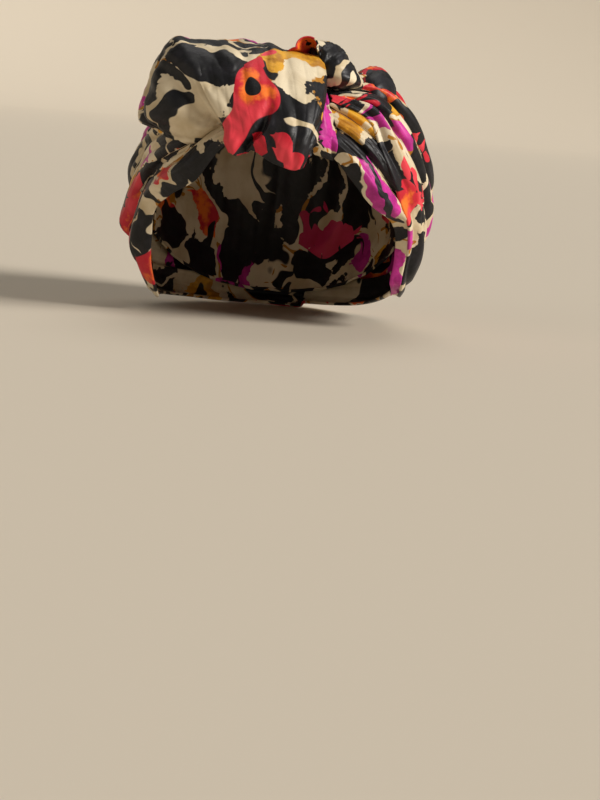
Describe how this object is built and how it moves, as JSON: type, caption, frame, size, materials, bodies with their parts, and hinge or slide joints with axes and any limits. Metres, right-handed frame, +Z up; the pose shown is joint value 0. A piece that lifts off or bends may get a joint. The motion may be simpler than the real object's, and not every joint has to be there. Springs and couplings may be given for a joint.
{
  "type": "head scarf tied as a turban",
  "caption": "Printed silk scarf wrapped round the head as a turban, with pleated side wraps, a knot at the top of the brow, soft puffs over it and a folded tail that hangs on the forehead.",
  "frame": {"origin": "crown seat: the point inside the crown where the top of the wearer's head rests", "axes": "+Z up through the crown, -Y towards the wearer's face and the knot, +X to the wearer's left"},
  "size_m": [0.1859, 0.2192, 0.1679],
  "materials": {
    "printed_silk": "silk satin, cream ground with black, red, orange, magenta and mustard blotches"
  },
  "bodies": {
    "root": {"crown_wrap": "printed_silk", "right_wrap": "printed_silk", "left_front_wrap": "printed_silk", "left_rear_wrap": "printed_silk", "knot": "printed_silk", "right_puff": "printed_silk", "tail": "printed_silk", "left_puff": "printed_silk", "side_puff": "printed_silk", "crest_roll": "printed_silk"}
  },
  "joints": []
}
